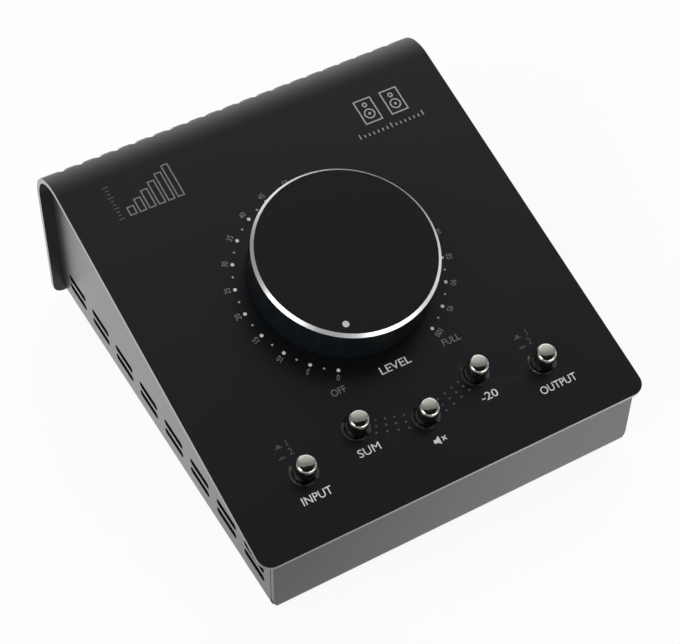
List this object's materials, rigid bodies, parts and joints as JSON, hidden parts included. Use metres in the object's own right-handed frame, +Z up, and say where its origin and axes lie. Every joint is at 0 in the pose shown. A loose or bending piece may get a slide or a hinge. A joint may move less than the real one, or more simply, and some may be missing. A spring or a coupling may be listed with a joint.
{
  "type": "studio monitor controller",
  "caption": "Desktop monitor controller: a folded-steel wedge with a large volume knob, a row of push buttons and sockets on its rear panel.",
  "frame": {"origin": "on the surface it stands on, at the middle of the width and of the overall depth", "axes": "+Z up, +Y to the rear where the sockets are, +X to the right as the user sees it"},
  "size_m": [0.16, 0.1806, 0.0821],
  "materials": {
    "black_powder_coat": "satin powder coat",
    "black_anodised": "anodised, bright cut edge",
    "bright_aluminium": "machined",
    "dark_chrome": "polished black nickel",
    "black_nylon": "moulded",
    "zinc_plate": "zinc plated",
    "black_screw": "black oxide",
    "socket_black": "moulded",
    "contact_silver": "silver plated",
    "circuit_board": "solder mask",
    "grey_ribbon": "ribbed",
    "rubber": "matte"
  },
  "bodies": {
    "case": {"base_tray": "black_powder_coat", "connector_screws": "black_screw", "dim_switch": "black_nylon", "foot_front_left": "rubber", "foot_front_right": "rubber", "foot_rear_left": "rubber", "foot_rear_right": "rubber", "front_hooks": "zinc_plate", "input_insert_left": "socket_black", "input_insert_right": "socket_black", "input_jack_left": "black_nylon", "input_jack_right": "black_nylon", "input_xlr_left": "socket_black", "input_xlr_right": "socket_black", "jack_nuts": "zinc_plate", "jack_washers": "zinc_plate", "monitor_switch": "black_nylon", "mono_switch": "black_nylon", "mute_switch": "black_nylon", "output_jack_left": "black_nylon", "output_jack_right": "black_nylon", "output_pins": "contact_silver", "output_xlr_left": "socket_black", "output_xlr_right": "socket_black", "panel_board": "circuit_board", "panel_screws": "zinc_plate", "panel_standoffs": "zinc_plate", "pot_housing": "zinc_plate", "pot_nut": "zinc_plate", "pot_washer": "zinc_plate", "rear_board": "circuit_board", "rear_screws": "black_screw", "ribbon_cable": "grey_ribbon", "ribbon_headers": "black_nylon", "source_switch": "black_nylon", "top_cover": "black_powder_coat", "tray_nuts": "zinc_plate"},
    "volume_knob": {"knob_shell": "black_anodised", "knob_hub": "black_nylon", "knob_index": "bright_aluminium", "pot_shaft": "zinc_plate"},
    "source_push": {"source_button": "dark_chrome", "source_plunger": "black_nylon"},
    "mono_push": {"mono_button": "dark_chrome", "mono_plunger": "black_nylon"},
    "mute_push": {"mute_button": "dark_chrome", "mute_plunger": "black_nylon"},
    "dim_push": {"dim_button": "dark_chrome", "dim_plunger": "black_nylon"},
    "monitor_push": {"monitor_button": "dark_chrome", "monitor_plunger": "black_nylon"}
  },
  "joints": [
    {"name": "volume_turn", "type": "hinge", "parent": "case", "child": "volume_knob", "pos_m": [0, -0.00351, 0.05614], "axis": [0, 0.2588, -0.9659], "range_deg": [0, 300]},
    {"name": "source_press", "type": "slide", "parent": "case", "child": "source_push", "axis": [0, 0.2588, -0.9659], "range_m": [0, 0.0025], "stiffness_N_per_m": 400, "springref_m": -0.001},
    {"name": "mono_press", "type": "slide", "parent": "case", "child": "mono_push", "axis": [0, 0.2588, -0.9659], "range_m": [0, 0.0025], "stiffness_N_per_m": 400, "springref_m": -0.001},
    {"name": "mute_press", "type": "slide", "parent": "case", "child": "mute_push", "axis": [0, 0.2588, -0.9659], "range_m": [0, 0.0025], "stiffness_N_per_m": 400, "springref_m": -0.001},
    {"name": "dim_press", "type": "slide", "parent": "case", "child": "dim_push", "axis": [0, 0.2588, -0.9659], "range_m": [0, 0.0025], "stiffness_N_per_m": 400, "springref_m": -0.001},
    {"name": "monitor_press", "type": "slide", "parent": "case", "child": "monitor_push", "axis": [0, 0.2588, -0.9659], "range_m": [0, 0.0025], "stiffness_N_per_m": 400, "springref_m": -0.001}
  ]
}
